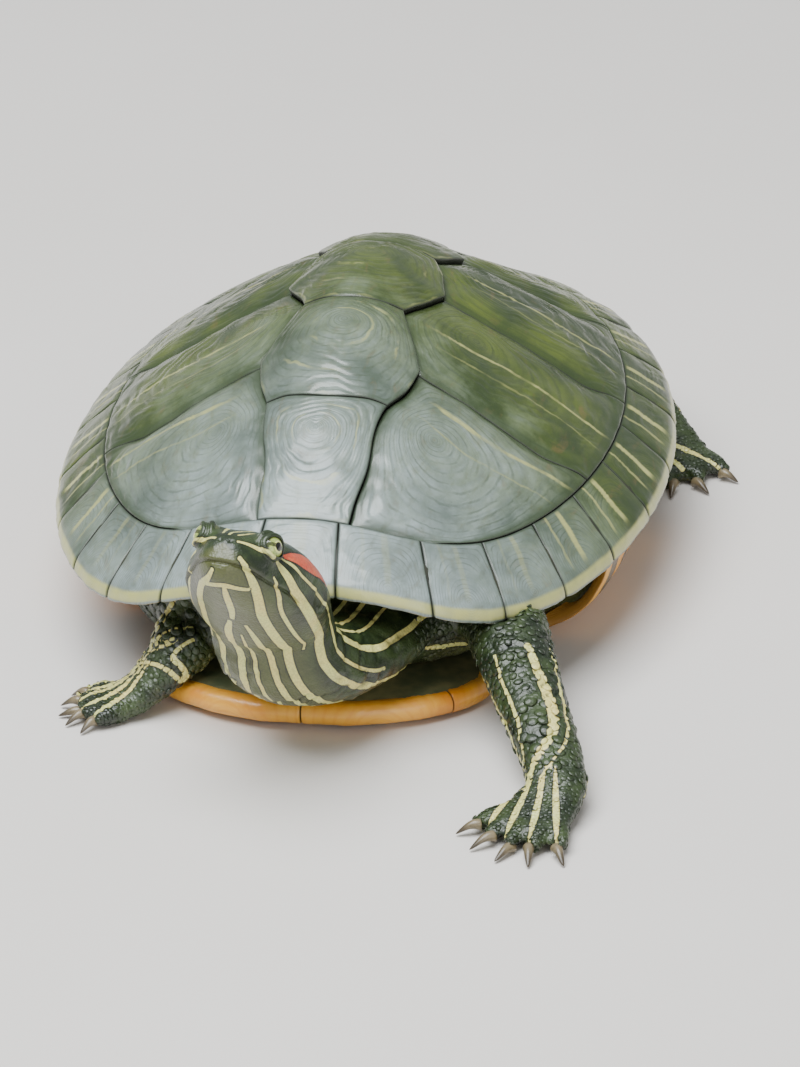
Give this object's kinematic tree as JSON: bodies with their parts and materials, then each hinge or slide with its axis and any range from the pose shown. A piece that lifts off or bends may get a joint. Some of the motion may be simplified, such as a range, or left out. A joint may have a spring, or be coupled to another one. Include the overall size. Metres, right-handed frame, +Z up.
{
  "type": "red-eared slider turtle",
  "caption": "Life-size basking red-eared slider, still: head raised and turned, one forefoot reaching ahead, resting on its flat plastron.",
  "frame": {"origin": "centre of the flat under the plastron, on the floor below the middle of the shell", "axes": "-Y towards the head, +X towards the animal's left side, +Z up"},
  "size_m": [0.1968, 0.323, 0.0958],
  "materials": {
    "carapace_olive": "wet horn plates, olive green with fine growth rings and pale lines",
    "plastron_yellow": "smooth horn plates, orange yellow with dark blotches",
    "skin_green": "wet scaly skin, dark green with pale yellow stripes",
    "jaw_striped": "smooth skin and horn bill, olive with pale yellow stripes",
    "eye_green": "clear, pale green iris with a dark bar",
    "claw_horn": "smooth dark horn, paler at the tip"
  },
  "bodies": {
    "root": {"carapace": "carapace_olive", "plastron": "plastron_yellow", "bridge_left": "plastron_yellow", "bridge_right": "plastron_yellow", "trunk": "skin_green", "neck": "skin_green", "head": "skin_green", "foreleg_left": "skin_green", "foreleg_right": "skin_green", "hindleg_left": "skin_green", "hindleg_right": "skin_green", "forefoot_left": "skin_green", "forefoot_right": "skin_green", "hindfoot_left": "skin_green", "hindfoot_right": "skin_green", "tail": "skin_green", "lower_jaw": "jaw_striped", "eye_left": "eye_green", "eye_right": "eye_green", "forefoot_left_claw_1": "claw_horn", "forefoot_left_claw_2": "claw_horn", "forefoot_left_claw_3": "claw_horn", "forefoot_left_claw_4": "claw_horn", "forefoot_left_claw_5": "claw_horn", "forefoot_right_claw_1": "claw_horn", "forefoot_right_claw_2": "claw_horn", "forefoot_right_claw_3": "claw_horn", "forefoot_right_claw_4": "claw_horn", "forefoot_right_claw_5": "claw_horn", "hindfoot_left_claw_1": "claw_horn", "hindfoot_left_claw_2": "claw_horn", "hindfoot_left_claw_3": "claw_horn", "hindfoot_left_claw_4": "claw_horn", "hindfoot_right_claw_1": "claw_horn", "hindfoot_right_claw_2": "claw_horn", "hindfoot_right_claw_3": "claw_horn", "hindfoot_right_claw_4": "claw_horn"}
  },
  "joints": []
}
